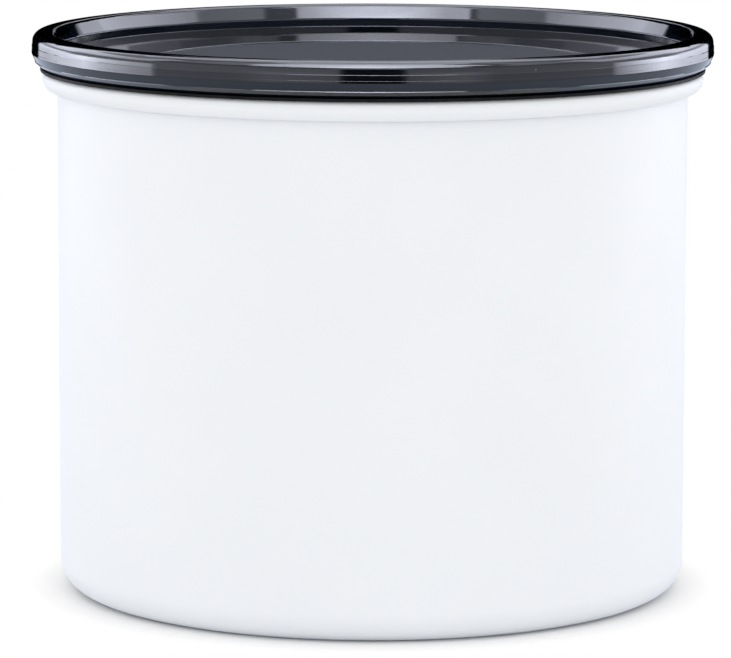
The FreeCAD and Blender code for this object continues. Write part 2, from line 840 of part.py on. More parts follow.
def make_handle():
    """Moulded handle: a stirrup grip, a barrel on the pin and a cam in the middle of the barrel."""
    body = new_body("handle", size.plunger_level + meet.axis_level)
    offset = size.valve_lift / 2
    sketch = sketch_on(body, "YZ_Plane")
    draw_circle(sketch, 0, 0, size.barrel_diameter / 2)
    pad(body, sketch, meet.barrel_end * 2, side="Symmetric")
    sketch = sketch_on(body, "YZ_Plane")
    draw_circle(sketch, -offset, offset, meet.cam_radius)
    pad(body, sketch, size.cam_width, side="Symmetric")

    grip_side = size.grip_width / 2
    flare_end = size.handle_reach - size.grip_side_run
    route = sketch_on(body, "XY_Plane")
    draw(route, [
        (-meet.arm_place, 0),
        (-meet.arm_place, size.arm_straight, size.flare_bend),
        (-grip_side, flare_end, size.flare_bend),
        (-grip_side, size.handle_reach, size.grip_bend),
        (grip_side, size.handle_reach, size.grip_bend),
        (grip_side, flare_end, size.flare_bend),
        (meet.arm_place, size.arm_straight, size.flare_bend),
        (meet.arm_place, 0),
    ], closed=False)
    half_width = size.grip_section_width / 2
    half_height = size.grip_section_height / 2
    section = sketch_on(body, "XZ_Plane")
    draw(section, [
        (half_width * across - meet.arm_place, half_height * up, size.grip_section_round)
        for across, up in ((-1, -1), (1, -1), (1, 1), (-1, 1))
    ])
    add_feature(body, "AdditivePipe", section, Spine=(route, []))

    sketch = sketch_on(body, "YZ_Plane")
    draw_circle(sketch, 0, 0, meet.pin_radius + size.pin_clearance)
    cut(body, sketch, (meet.barrel_end + size.cut_overrun) * 2, side="Symmetric")


def make_hinge_pin():
    """Headed steel pin through both ears, with a groove for its clip at the other end."""
    body = new_body("hinge_pin", size.plunger_level + meet.axis_level)
    groove = meet.pin_radius - size.clip_groove_depth
    head_face = meet.ear_outer + size.seat_clearance
    head_end = head_face + size.pin_head_thickness
    groove_near = -head_face
    groove_far = groove_near - size.clip_thickness - size.seat_clearance
    head_radius = size.pin_head_diameter / 2
    turn(body, [
        (groove_far - size.pin_tail, 0),
        (groove_far - size.pin_tail, meet.pin_radius),
        (groove_far, meet.pin_radius),
        (groove_far, groove),
        (groove_near, groove),
        (groove_near, meet.pin_radius),
        (head_face, meet.pin_radius),
        (head_face, head_radius),
        (head_end, head_radius, size.stem_head_round),
        (head_end, 0),
    ], axis="H_Axis")
    clip = new_body("hinge_pin_clip", size.plunger_level + meet.axis_level)
    bore = groove + size.seat_clearance
    far = groove_near - size.clip_thickness
    turn(clip, [
        (far, bore),
        (groove_near, bore),
        (groove_near, bore + size.clip_width),
        (far, bore + size.clip_width),
    ], axis="H_Axis", sweep=CLIP_SWEEP)


# Checks and files

def check_document():
    for item in doc.Objects:
        if "Invalid" in item.State or "Error" in item.State:
            raise RuntimeError(f"{item.Label} failed: {item.State}")
    for part in sub_parts:
        if part.Shape.isNull() or not part.Shape.isValid():
            raise RuntimeError(f"{part.Label} has no valid shape")


def write_parts():
    os.makedirs("parts", exist_ok=True)
    for part in sub_parts:
        part.Shape.exportStep(os.path.join("parts", f"{part.Label}.step"))
        print(f"{part.Label}: {len(part.Shape.Solids)} solid(s), {part.Shape.Volume:.1f} mm3")


doc = FreeCAD.newDocument("coffee_canister")
sub_parts = []
size = make_sheet()
meet = work_out_shared()

make_canister_shell()
make_outer_lid()
make_outer_lid_gasket()
make_plunger_underplate()
make_plunger_deck()
make_wiper_seal()
make_underplate_screws()
make_valve_housing()
make_housing_oring()
make_valve_stem()
make_valve_rings()
make_valve_spring()
make_handle()
make_hinge_pin()
doc.recompute()
check_document()
write_parts()
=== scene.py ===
import bmesh
import bpy
import math
from mathutils import Matrix, Vector


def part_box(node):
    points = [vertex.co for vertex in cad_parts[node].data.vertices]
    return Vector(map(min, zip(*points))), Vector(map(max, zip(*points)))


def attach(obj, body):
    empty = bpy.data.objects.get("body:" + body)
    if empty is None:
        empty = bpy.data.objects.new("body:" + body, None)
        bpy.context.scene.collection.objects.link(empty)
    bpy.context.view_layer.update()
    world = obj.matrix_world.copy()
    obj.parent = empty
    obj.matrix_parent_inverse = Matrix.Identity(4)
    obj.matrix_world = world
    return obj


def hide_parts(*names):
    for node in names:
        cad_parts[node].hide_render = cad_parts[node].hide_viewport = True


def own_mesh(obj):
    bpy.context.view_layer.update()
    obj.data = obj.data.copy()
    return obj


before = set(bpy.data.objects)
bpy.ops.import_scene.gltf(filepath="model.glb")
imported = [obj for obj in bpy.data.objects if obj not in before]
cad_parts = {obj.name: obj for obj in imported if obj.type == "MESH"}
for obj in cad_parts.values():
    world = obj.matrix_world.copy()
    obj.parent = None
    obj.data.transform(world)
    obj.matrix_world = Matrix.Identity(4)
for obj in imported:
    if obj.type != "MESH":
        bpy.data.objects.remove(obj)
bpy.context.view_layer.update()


# Canister shell
# A can deep drawn from stainless sheet, with a raised base and a mouth that is curled outwards into a
# hollow bead. The outside is powder coated white, and the inside is left bare, brushed by its turning.

MM = 0.001
ROUND_STEPS = 192
ARC_STEPS = 8
SHARP_ANGLE = math.radians(25)
WELD_GAP = 0.001 * MM
NOISE_LOW = 0.3
NOISE_HIGH = 0.7


def outline_run(before, corner, after, rounding):
    """Gives how far along its two edges a corner is cut back to be rounded."""
    half_angle = (before - corner).angle(after - corner) / 2
    return rounding / math.tan(half_angle)


def draw_outline(form, corners, closed):
    """Draws an upright outline of (radius, height, rounding) corners, and rounds them."""
    places = [Vector((radius, 0, height)) for radius, height, *_ in corners]
    points = [form.verts.new(place) for place in places]
    for start, end in zip(points, points[1:]):
        form.edges.new((start, end))
    if closed:
        form.edges.new((points[-1], points[0]))
    for index, corner in enumerate(corners):
        if len(corner) == 3:
            after = places[(index + 1) % len(places)]
            run = outline_run(places[index - 1], places[index], after, corner[2])
            bmesh.ops.bevel(form, geom=[points[index]], offset=run, offset_type="OFFSET", segments=ARC_STEPS,
                            profile=0.5, affect="VERTICES", material=-1)


def spin_round(form):
    """Spins a drawn line once about the upright axis."""
    bmesh.ops.spin(form, geom=form.verts[:] + form.edges[:], cent=(0, 0, 0), axis=(0, 0, 1),
                   angle=math.tau, steps=ROUND_STEPS, use_merge=True)


def turned(corners, closed=True):
    """Turns an outline into a closed form. An open outline starts and ends on the axis."""
    form = bmesh.new()
    draw_outline(form, corners, closed)
    spin_round(form)
    bmesh.ops.remove_doubles(form, verts=form.verts, dist=WELD_GAP)
    bmesh.ops.recalc_face_normals(form, faces=form.faces)
    return form


def add_object(name, form):
    """Makes a form an object of the scene."""
    mesh = bpy.data.meshes.new(name)
    form.to_mesh(mesh)
    form.free()
    made = bpy.data.objects.new(name, mesh)
    bpy.context.scene.collection.objects.link(made)
    return made


def make_piece(name, form, finishes, body, node):
    """Makes a form an object that stands for a node of the frame and moves with its body."""
    made = add_object(name, form)
    for finish in finishes:
        made.data.materials.append(finish)
    made.data.shade_smooth()
    made.data.set_sharp_from_angle(angle=SHARP_ANGLE)
    made.modifiers.new("even_shading", "WEIGHTED_NORMAL").keep_sharp = True
    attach(made, body)
    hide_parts(node)
    return made


def set_socket(tree, socket, setting):
    """Gives a socket another node's output, a colour or a plain constant."""
    if isinstance(setting, bpy.types.NodeSocket):
        tree.links.new(setting, socket)
    elif socket.type == "RGBA":
        socket.default_value = (*setting, 1)
    else:
        socket.default_value = setting


def feed(tree, node, **settings):
    """Sets a node's inputs by their names."""
    for name, setting in settings.items():
        set_socket(tree, node.inputs[name.replace("_", " ")], setting)


def new_finish(name, **settings):
    """Starts a finish whose shader has these settings, and gives its node tree and shader too."""
    finish = bpy.data.materials.new(name)
    finish.use_nodes = True
    shader = finish.node_tree.nodes["Principled BSDF"]
    feed(finish.node_tree, shader, **settings)
    return finish, finish.node_tree, shader


def add_node(tree, kind, **settings):
    """Adds a shader node with these inputs."""
    node = tree.nodes.new(f"ShaderNode{kind}")
    feed(tree, node, **settings)
    return node


def add_math(tree, operation, *values):
    """Adds a sum on values, each a constant or another node's output."""
    node = tree.nodes.new("ShaderNodeMath")
    node.operation = operation
    for value, socket in zip(values, node.inputs):
        set_socket(tree, socket, value)
    return node.outputs["Value"]


def own_place(tree):
    """Gives the piece's own coordinates in metres."""
    return add_node(tree, "TexCoord").outputs["Object"]


def vector_length(tree, vector):
    """Gives how long a vector is."""
    node = tree.nodes.new("ShaderNodeVectorMath")
    node.operation = "LENGTH"
    tree.links.new(vector, node.inputs[0])
    return node.outputs["Value"]


def speckle(tree, scale, detail=2.0, place=None):
    """Noise of a given number of grains a metre on the piece itself."""
    place = place or own_place(tree)
    return add_node(tree, "TexNoise", Vector=place, Scale=scale, Detail=detail).outputs["Fac"]


def spread(tree, value, low, high):
    """Spreads the middle of a noise between two values."""
    return add_node(tree, "MapRange", Value=value, From_Min=NOISE_LOW, From_Max=NOISE_HIGH,
                    To_Min=low, To_Max=high).outputs["Result"]


def shade(tree, value, dark, light):
    """Blends two colours by a value."""
    blend = tree.nodes.new("ShaderNodeMix")
    blend.data_type = "RGBA"
    feed(tree, blend, Factor=value, A=dark, B=light)
    return next(socket for socket in blend.outputs if socket.type == "RGBA")


def relief(tree, height, strength, depth):
    """Gives the normals of a relief of some depth in metres."""
    return add_node(tree, "Bump", Height=height, Strength=strength, Distance=depth).outputs["Normal"]


def powder_coat():
    """Satin white powder coat: a fine orange peel, and hardly visible clouds in its white and its gloss."""
    finish, tree, shader = new_finish("powder_coat", IOR=1.5, Specular_IOR_Level=0.08)
    cloud = spread(tree, speckle(tree, 38.0), 0, 1)
    feed(tree, shader,
         Base_Color=shade(tree, cloud, (0.884, 0.902, 0.930), (0.900, 0.918, 0.945)),
         Roughness=spread(tree, speckle(tree, 60.0), 0.46, 0.54),
         Normal=relief(tree, speckle(tree, 1300.0), strength=0.10, depth=0.03 * MM))
    return finish


def turned_place(tree, along, around):
    """Coordinates for marks that run round the upright axis: radius, height and a slow angle."""
    parts = add_node(tree, "SeparateXYZ", Vector=own_place(tree)).outputs
    flat = add_node(tree, "CombineXYZ", X=parts["X"], Y=parts["Y"]).outputs["Vector"]
    angle = add_math(tree, "ARCTAN2", parts["Y"], parts["X"])
    place = add_node(tree, "CombineXYZ", X=vector_length(tree, flat), Y=parts["Z"], Z=angle).outputs["Vector"]
    return add_node(tree, "Mapping", Vector=place, Scale=(along, along, around)).outputs["Vector"]


def brushed_steel():
    """Bare stainless steel with fine marks round the can from its spinning and brushing."""
    finish, tree, shader = new_finish("brushed_steel", Metallic=1.0)
    marks = speckle(tree, 1.0, detail=5.0, place=turned_place(tree, along=3200.0, around=1.6))
    feed(tree, shader,
         Base_Color=shade(tree, marks, (0.57, 0.565, 0.55), (0.78, 0.775, 0.76)),
         Roughness=spread(tree, marks, 0.42, 0.54),
         Normal=relief(tree, marks, strength=0.09, depth=0.01 * MM))
    return finish


can_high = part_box("canister_shell")[1]
bead_radius = can_high.x
crown = can_high.z
steel = 0.6 * MM
rim_width = 3.5 * MM
crown_flat = 0.3 * MM
bead_side = 0.1 * MM
curl_gap = 0.3 * MM
base_corner = 5.5 * MM
foot_width = 8.8 * MM
recess_height = 1.4 * MM
recess_run = 2.4 * MM
base_bend = 1.2 * MM
edge_break = 0.15 * MM
can_inner = bead_radius - rim_width
can_outer = can_inner + steel
crown_round = (rim_width - crown_flat) / 2
curl_end = can_outer + curl_gap
curl_round = bead_radius - curl_end - crown_flat
curl_foot = crown - crown_round - bead_side - curl_round
foot_inner = can_outer - base_corner - foot_width
recess_edge = foot_inner - recess_run

can_form = turned([
    (0, recess_height),
    (recess_edge, recess_height, base_bend),
    (foot_inner, 0, base_bend),
    (can_outer, 0, base_corner),
    (can_outer, crown - steel, crown_round - steel),
    (bead_radius - steel, crown - steel, crown_round - steel),
    (bead_radius - steel, curl_foot + steel, curl_round - steel),
    (curl_end, curl_foot + steel, edge_break),
    (curl_end, curl_foot, edge_break),
    (bead_radius, curl_foot, curl_round),
    (bead_radius, crown, crown_round),
    (can_inner, crown, crown_round),
    (can_inner, steel, base_corner - steel),
    (foot_inner, steel, base_bend),
    (recess_edge, recess_height + steel, base_bend),
    (0, recess_height + steel),
], closed=False)
least_lean = 0.01
for face in can_form.faces:
    centre = face.calc_center_median()
    inward = -Vector((centre.x, centre.y, 0)).normalized()
    faces_inside = face.normal.z > least_lean or face.normal.dot(inward) > least_lean
    if faces_inside and centre.xy.length < can_inner and centre.z < crown - crown_round:
        face.material_index = 1
can_finishes = [powder_coat(), brushed_steel()]
make_piece("canister_body", can_form, can_finishes, "canister", "canister_shell")


# Underplate of the inner lid
# The flat lower half of the sliding lid, injection moulded in charcoal plastic with the valve's seat in its
# middle. Six screws from below pull it against the deck.

EDGE_SAMPLES = 4


def dress(node, finish):
    """Gives a piece that keeps its solid's shape a finish of its own."""
    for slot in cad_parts[node].material_slots:
        slot.material = finish


def soft_edges(tree, height, strength, depth, rounding):
    """Gives the normals of a relief with its edges broken by a small rounding, as they are in a mould."""
    edge = add_node(tree, "Bevel", Radius=rounding)
    edge.samples = EDGE_SAMPLES
    return add_node(tree, "Bump", Height=height, Strength=strength, Distance=depth,
                    Normal=edge.outputs["Normal"]).outputs["Normal"]


def charcoal_plastic():
    """Charcoal plastic with the fine eroded grain of its mould and a slight unevenness in its gloss."""
    finish, tree, shader = new_finish("charcoal_plastic", IOR=1.5)
    grain = speckle(tree, 1700.0, detail=3.0)
    cloud = spread(tree, speckle(tree, 45.0), 0, 1)
    feed(tree, shader,
         Base_Color=shade(tree, cloud, (0.030, 0.031, 0.034), (0.040, 0.041, 0.044)),
         Roughness=spread(tree, speckle(tree, 75.0, detail=4.0), 0.42, 0.56),
         Normal=soft_edges(tree, grain, strength=0.35, depth=0.03 * MM, rounding=0.25 * MM))
    return finish


charcoal = charcoal_plastic()
dress("plunger_underplate", charcoal)


# Wiper seal
# A moulded silicone ring whose flange is clamped between the two halves of the sliding lid. Its two lips
# wipe the wall of the can, one on the way down and one on the way up.

def black_silicone():
    """Black silicone, matt and a little dusty."""
    finish, tree, shader = new_finish("black_silicone", IOR=1.42, Specular_IOR_Level=0.08)
    dust = spread(tree, speckle(tree, 420.0, detail=4.0), 0, 1)
    feed(tree, shader,
         Base_Color=shade(tree, dust, (0.006, 0.006, 0.007), (0.012, 0.012, 0.013)),
         Roughness=spread(tree, speckle(tree, 90.0), 0.46, 0.6),
         Normal=relief(tree, speckle(tree, 3000.0), strength=0.12, depth=0.02 * MM))
    return finish


silicone = black_silicone()
plate_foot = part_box("plunger_underplate")[0].z
deck_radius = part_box("plunger_deck")[1].x
plate_thickness = 2.4 * MM
flange_thickness = 1.6 * MM
flange_depth = 4.1 * MM
band_slack = 0.05 * MM
band_thickness = 1.2 * MM
lip_clearance = 0.2 * MM
lip_tip = 0.5 * MM
lip_root = 2.0 * MM
lip_rise = 1.8 * MM
small_round = 0.2 * MM
lip_radius = can_inner - lip_clearance
flange_foot = plate_foot + plate_thickness
flange_top = flange_foot + flange_thickness
flange_inner = deck_radius - flange_depth
band_inner = deck_radius + band_slack
band_outer = band_inner + band_thickness
low_root = flange_foot - lip_root
high_root = flange_top + lip_root

seal_form = turned([
    (flange_inner, flange_foot),
    (band_inner, flange_foot),
    (band_inner, low_root, small_round),
    (lip_radius - lip_tip, low_root - lip_rise, small_round),
    (lip_radius, low_root - lip_rise + lip_tip, small_round),
    (band_outer, flange_foot, small_round),
    (band_outer, flange_top, small_round),
    (lip_radius, high_root + lip_rise - lip_tip, small_round),
    (lip_radius - lip_tip, high_root + lip_rise, small_round),
    (band_inner, high_root, small_round),
    (band_inner, flange_top),
    (flange_inner, flange_top),
])
make_piece("sliding_seal", seal_form, [silicone], "inner_lid", "wiper_seal")


# Deck of the inner lid
# The upper half of the sliding lid, moulded with an upstand against tilting, ribs, screw bosses, a pair of
# ears for the hinge and two rests for the folded handle.

dress("plunger_deck", charcoal)


# Screws of the underplate
# Countersunk stainless screws, rolled and bright, driven from below into the bosses of the deck.

def bright_steel():
    """Bright stainless steel with the fine marks of turning and rolling."""
    finish, tree, shader = new_finish("bright_steel", Metallic=1.0)
    marks = speckle(tree, 1.0, detail=4.0, place=turned_place(tree, along=3800.0, around=8.0))
    feed(tree, shader,
         Base_Color=shade(tree, marks, (0.52, 0.52, 0.51), (0.66, 0.66, 0.65)),
         Roughness=spread(tree, marks, 0.18, 0.30),
         Normal=soft_edges(tree, marks, strength=0.1, depth=0.01 * MM, rounding=0.1 * MM))
    return finish


steel_finish = bright_steel()
dress("underplate_screws", steel_finish)


# Valve housing and its ring
# A cup moulded in grey plastic and clamped under the deck. It guides the stem, holds the spring and lets
# the air through its floor. A silicone ring in a groove seals it to the underplate.

def grey_plastic():
    """Smooth grey plastic with a slight flow in its colour."""
    finish, tree, shader = new_finish("grey_plastic", IOR=1.5)
    flow = spread(tree, speckle(tree, 60.0, detail=4.0), 0, 1)
    feed(tree, shader,
         Base_Color=shade(tree, flow, (0.255, 0.260, 0.268), (0.285, 0.290, 0.298)),
         Roughness=spread(tree, speckle(tree, 130.0, detail=3.0), 0.30, 0.42),
         Normal=soft_edges(tree, speckle(tree, 2600.0), strength=0.12, depth=0.02 * MM, rounding=0.2 * MM))
    return finish


grey = grey_plastic()
dress("valve_housing", grey)
dress("housing_oring", silicone)


# Valve stem, its disc, washer and clip
# A moulded plastic stem whose round head is pressed by the cam. It carries a silicone disc that shuts the
# port from below, backed by a steel washer and kept by a spring clip in a groove.

dress("valve_stem", grey)
dress("valve_seal", silicone)
dress("seal_washer", steel_finish)
dress("stem_clip", steel_finish)


# Valve spring
# A compression spring coiled from drawn steel wire, which stands in the cup and lifts the head of the stem.

def spring_steel():
    """Drawn spring wire, darker than the turned pieces, with fine lines and a trace of oil."""
    finish, tree, shader = new_finish("spring_steel", Metallic=1.0)
    marks = speckle(tree, 2400.0, detail=3.0)
    feed(tree, shader,
         Base_Color=shade(tree, marks, (0.36, 0.355, 0.345), (0.50, 0.495, 0.48)),
         Roughness=spread(tree, speckle(tree, 300.0), 0.24, 0.36))
    return finish


spring_low, spring_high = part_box("valve_spring")
wire_radius = 0.35 * MM
wire_sides = 16
coil_radius = 5.8 * MM
coil_turns = 3.5
steps_per_turn = 48
coil_length = spring_high.z - spring_low.z
coil_rise = coil_length - 2 * wire_radius
coil_steps = round(coil_turns * steps_per_turn)

spring_form = bmesh.new()
wire_circle = bmesh.ops.create_circle(spring_form, cap_ends=True, segments=wire_sides, radius=wire_radius)
upright = Matrix.Rotation(math.pi / 2, 4, "X")
coil_start = Matrix.Translation((coil_radius, 0, spring_low.z + wire_radius))
bmesh.ops.transform(spring_form, matrix=coil_start @ upright, verts=wire_circle["verts"])
wire_end = spring_form.verts[:] + spring_form.edges[:] + spring_form.faces[:]
bmesh.ops.spin(spring_form, geom=wire_end, cent=(0, 0, 0), axis=(0, 0, 1), angle=math.tau * coil_turns,
               steps=coil_steps, dvec=(0, 0, coil_rise / coil_steps))
bmesh.ops.recalc_face_normals(spring_form, faces=spring_form.faces)
spring = make_piece("valve_coil", spring_form, [spring_steel()], "inner_lid", "valve_spring")
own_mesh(spring)


# Handle
# A stirrup moulded in dark plastic, in one piece with the barrel that turns on the pin and the cam that
# presses the stem down when the handle stands up.

def handle_plastic():
    """Satin black plastic with a slight unevenness in its gloss, as fingers leave it."""
    finish, tree, shader = new_finish("handle_plastic", IOR=1.5)
    grain = speckle(tree, 2100.0, detail=3.0)
    tone = spread(tree, speckle(tree, 55.0), 0, 1)
    feed(tree, shader,
         Base_Color=shade(tree, tone, (0.016, 0.016, 0.018), (0.024, 0.024, 0.026)),
         Roughness=spread(tree, speckle(tree, 110.0, detail=4.0), 0.28, 0.40),
         Normal=soft_edges(tree, grain, strength=0.2, depth=0.02 * MM, rounding=0.3 * MM))
    return finish


dress("handle", handle_plastic())


# Hinge pin and its clip
# A headed stainless pin through both ears and the barrel, kept by a spring clip at its other end.

dress("hinge_pin", steel_finish)
dress("hinge_pin_clip", steel_finish)


# Outer lid
# A push-on lid injection moulded in smoke-tinted clear plastic: a thick rounded rim round a dished floor,
# whose centre is a frosted panel, and a plug below that goes into the mouth of the can.

def smoke_plastic():
    """Polished smoke plastic, nearly black where it is thick, with faint wear and a few specks of dust."""
    finish, tree, shader = new_finish("smoke_plastic", IOR=1.5, Transmission_Weight=0.75)
    wear = speckle(tree, 140.0, detail=5.0)
    tint = shade(tree, spread(tree, wear, 0, 1), (0.003, 0.005, 0.009), (0.005, 0.007, 0.013))
    speck_core = 0.02
    speck_edge = 0.034
    from_speck = add_node(tree, "TexVoronoi", Vector=own_place(tree), Scale=220.0).outputs["Distance"]
    dust = add_node(tree, "MapRange", Value=from_speck, From_Min=speck_core, From_Max=speck_edge,
                    To_Min=1.0, To_Max=0.0).outputs["Result"]
    feed(tree, shader,
         Base_Color=shade(tree, dust, tint, (0.60, 0.61, 0.63)),
         Roughness=spread(tree, wear, 0.035, 0.075))
    return finish


def frosted_panel():
    """The eroded centre of the mould leaves a fine matt grain."""
    finish, tree, shader = new_finish("frosted_panel", IOR=1.5, Specular_IOR_Level=0.012,
                                      Transmission_Weight=0.1)
    grain = speckle(tree, 2200.0, detail=3.0)
    feed(tree, shader,
         Base_Color=shade(tree, spread(tree, grain, 0, 1), (0.038, 0.041, 0.050), (0.050, 0.054, 0.064)),
         Roughness=spread(tree, grain, 0.68, 0.80),
         Normal=relief(tree, grain, strength=0.35, depth=0.03 * MM))
    return finish


lid_low, lid_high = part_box("outer_lid")
lid_radius = lid_high.x
lid_crest = lid_high.z
plug_foot = lid_low.z
gasket_thickness = 0.7 * MM
rim_thickness = 5.4 * MM
wall_height = 1.55 * MM
wall_undercut = 0.04 * MM
slope_width = 1.3 * MM
slope_foot_round = 1.0 * MM
slope_round = 1.0 * MM
crest_round = 1.7 * MM
draft = 0.1 * MM
parting_drop = 2.4 * MM
witness = 0.08 * MM
second_drop = 1.05 * MM
second_witness = 0.04 * MM
floor_height = 2.05 * MM
floor_fall = 1.5 * MM
floor_round = 0.8 * MM
flank_width = 0.6 * MM
flank_height = 1.55 * MM
flank_ridge = 0.06 * MM
flank_ridge_height = 0.12 * MM
bevel_width = 1.4 * MM
bevel_height = 1.25 * MM
edge_round = 0.5 * MM
lip_width = 1.0 * MM
lip_gap = 0.35 * MM
panel_radius = 44.5 * MM
panel_recess = 0.3 * MM
panel_break = 0.08 * MM
panel_thickness = 1.6 * MM
plug_gap = 1.8 * MM
plug_wall = 1.8 * MM
plug_bead = 0.8 * MM
lid_seat = crown + gasket_thickness
lid_floor = lid_seat + floor_height
panel_rim = lid_floor - floor_fall
panel_level = panel_rim - panel_recess
underside = panel_level - panel_thickness
plug_radius = can_inner - plug_gap
rim_inner = lid_radius - rim_thickness
parting_line = lid_crest - parting_drop
second_line = parting_line - second_drop
lower_radius = lid_radius - second_witness
upper_radius = lower_radius - witness
lip_foot = crown + lip_gap
flank_foot = lip_foot + bevel_height
flank_radius = lid_radius - flank_width
bevel_radius = flank_radius - bevel_width
rebate_radius = bevel_radius - lip_width

lid_form = turned([
    (0, panel_level),
    (panel_radius, panel_level, panel_break),
    (panel_radius, panel_rim, small_round),
    (rim_inner + wall_undercut, lid_floor, panel_break),
    (rim_inner, lid_floor + wall_height, slope_foot_round),
    (rim_inner + slope_width, lid_crest, slope_round),
    (upper_radius - draft, lid_crest, crest_round),
    (upper_radius, parting_line + witness),
    (lower_radius, parting_line),
    (lower_radius, second_line + second_witness),
    (lid_radius, second_line),
    (lid_radius, flank_foot + flank_height, edge_round),
    (flank_radius - flank_ridge, flank_foot + flank_ridge_height),
    (flank_radius, flank_foot),
    (bevel_radius, lip_foot, small_round),
    (rebate_radius, lip_foot, small_round),
    (rebate_radius, lid_seat),
    (plug_radius, lid_seat, small_round),
    (plug_radius, plug_foot + plug_bead, small_round),
    (plug_radius + plug_bead, plug_foot + plug_bead, small_round),
    (plug_radius + plug_bead, plug_foot, small_round),
    (plug_radius - plug_wall, plug_foot, small_round),
    (plug_radius - plug_wall, underside, floor_round),
    (0, underside),
], closed=False)
nearly_level = 0.9
for face in lid_form.faces:
    centre = face.calc_center_median()
    on_panel = centre.xy.length < panel_radius and centre.z < panel_level + panel_break
    if on_panel and face.normal.z > nearly_level:
        face.material_index = 1
lid_finishes = [smoke_plastic(), frosted_panel()]
make_piece("smoke_lid", lid_form, lid_finishes, "outer_lid", "outer_lid")


# Outer lid gasket
# A moulded silicone ring pulled over the plug of the lid: its flange is nipped between the lid and the
# rim of the can, with a thin skirt under the lid's lip, and two lips on its leg press on the wall.

gasket_low, gasket_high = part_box("outer_lid_gasket")
leg_foot = gasket_low.z
flange_radius = gasket_high.x
leg_slack = 0.05 * MM
leg_thickness = 1.0 * MM
gasket_lip_root = 0.8 * MM
gasket_lip_pitch = 1.6 * MM
skirt_reach = 0.4 * MM
skirt_gap = 0.02 * MM
skirt_root = 0.2 * MM
skirt_drop = 0.3 * MM
leg_inner = plug_radius + leg_slack
leg_outer = leg_inner + leg_thickness
skirt_radius = bevel_radius + skirt_reach
skirt_top = lip_foot - skirt_gap
leg_lips = []
for lip_low in (leg_foot, leg_foot + gasket_lip_pitch):
    lip_high = lip_low + gasket_lip_root
    leg_lips += [
        (leg_outer, lip_low, edge_break),
        (lip_radius, lip_high, edge_break),
        (leg_outer, lip_high, edge_break),
    ]

gasket_form = turned([
    (leg_inner, leg_foot),
    *leg_lips,
    (leg_outer, crown),
    (flange_radius + skirt_root, crown),
    (skirt_radius, crown - skirt_drop, edge_break),
    (skirt_radius, skirt_top, edge_break),
    (flange_radius, skirt_top),
    (flange_radius, lid_seat),
    (leg_inner, lid_seat),
])
make_piece("lid_gasket", gasket_form, [silicone], "outer_lid", "outer_lid_gasket")


# Studio
# A white floor that runs out of view under even light, and lit walls in rings round the object, which only
# gloss shows: bright at the sides and above the camera, with dimmer stretches and dark gaps between them.

WALL_TINT = (0.95, 0.98, 1.14)


def bare_finish(name):
    """Starts a finish with no shader, and gives its node tree and the socket of its surface too."""
    finish = bpy.data.materials.new(name)
    finish.use_nodes = True
    tree = finish.node_tree
    tree.nodes.remove(tree.nodes["Principled BSDF"])
    return finish, tree, tree.nodes["Material Output"].inputs["Surface"]


def mix_shaders(tree, share, first, second):
    """Blends two shaders by a share."""
    blend = add_node(tree, "MixShader", Fac=share)
    tree.links.new(first, blend.inputs[1])
    tree.links.new(second, blend.inputs[2])
    return blend.outputs["Shader"]


def add_ramp(tree, value, stops):
    """Gives levels between stops of (value, level)."""
    ramp = add_node(tree, "ValToRGB", Fac=value)
    brightest = max(level for _, level in stops)
    marks = ramp.color_ramp.elements
    while len(marks) < len(stops):
        marks.new(1.0)
    for mark, (place, level) in zip(marks, stops):
        mark.position = place
        mark.color = (*[level / brightest] * 3, 1)
    return add_math(tree, "MULTIPLY", ramp.outputs["Color"], brightest)


def add_lit_wall(name, low, high, levels, rises=None):
    """Spins a wall from a low to a high (radius, height) round the object, which only gloss shows.

    Levels are stops of (degrees round from the camera, level), and rises of (height, share of the level).
    """
    form = bmesh.new()
    form.edges.new([form.verts.new((radius, 0, height)) for radius, height in (low, high)])
    spin_round(form)
    wall = add_object(name, form)
    finish, tree, surface = bare_finish(name)
    parts = add_node(tree, "SeparateXYZ", Vector=own_place(tree)).outputs
    front = add_math(tree, "MULTIPLY", parts["Y"], -1.0)
    angle = add_math(tree, "ARCTAN2", parts["X"], front)
    turn_share = add_math(tree, "MULTIPLY_ADD", angle, 1 / math.tau, 0.5)
    strength = add_ramp(tree, turn_share, [(degrees / 360 + 0.5, level) for degrees, level in levels])
    if rises:
        strength = add_math(tree, "MULTIPLY", strength, add_ramp(tree, parts["Z"], rises))
    glow = add_node(tree, "Emission", Color=WALL_TINT, Strength=strength)
    tree.links.new(glow.outputs["Emission"], surface)
    wall.data.materials.append(finish)
    wall.visible_camera = False
    wall.visible_diffuse = False
    wall.visible_transmission = False
    wall.visible_shadow = False


def with_far_strip(strip_level, levels):
    """Adds to levels a narrow strip straight behind the object, with a dark gap on each side."""
    return [(-180, strip_level), (-178.6, strip_level), (-177.8, 0), *levels,
            (176, 0), (177, strip_level), (180, strip_level)]


floor_reach = 12.0
shadow_start = 57.5 * MM
shadow_end = 66 * MM
floor_form = bmesh.new()
bmesh.ops.create_grid(floor_form, x_segments=1, y_segments=1, size=floor_reach)
studio_floor = add_object("studio_floor", floor_form)
floor_finish, tree, surface = bare_finish("studio_floor")
sight = add_node(tree, "LightPath").outputs
matt = add_node(tree, "BsdfDiffuse", Color=(0.86, 0.86, 0.86)).outputs["BSDF"]
white = add_node(tree, "Emission", Strength=1.0).outputs["Emission"]
# Glossy and transmitted rays see the floor as a cool, bluish glow of its own rather than the lit floor: a
# painted reflection that stands in for shaded floor mirrored in the lid and the coat.
painted_cool_reflection = add_node(tree, "Emission", Color=(0.76, 0.86, 1.06), Strength=1.0).outputs["Emission"]
past_shadow = add_node(tree, "MapRange", Value=vector_length(tree, own_place(tree)),
                       From_Min=shadow_start, From_Max=shadow_end).outputs["Result"]
seen_white = add_math(tree, "MULTIPLY", past_shadow, sight["Is Camera Ray"])
mirrored = add_math(tree, "MAXIMUM", sight["Is Glossy Ray"], sight["Is Transmission Ray"])
seen = mix_shaders(tree, seen_white, matt, white)
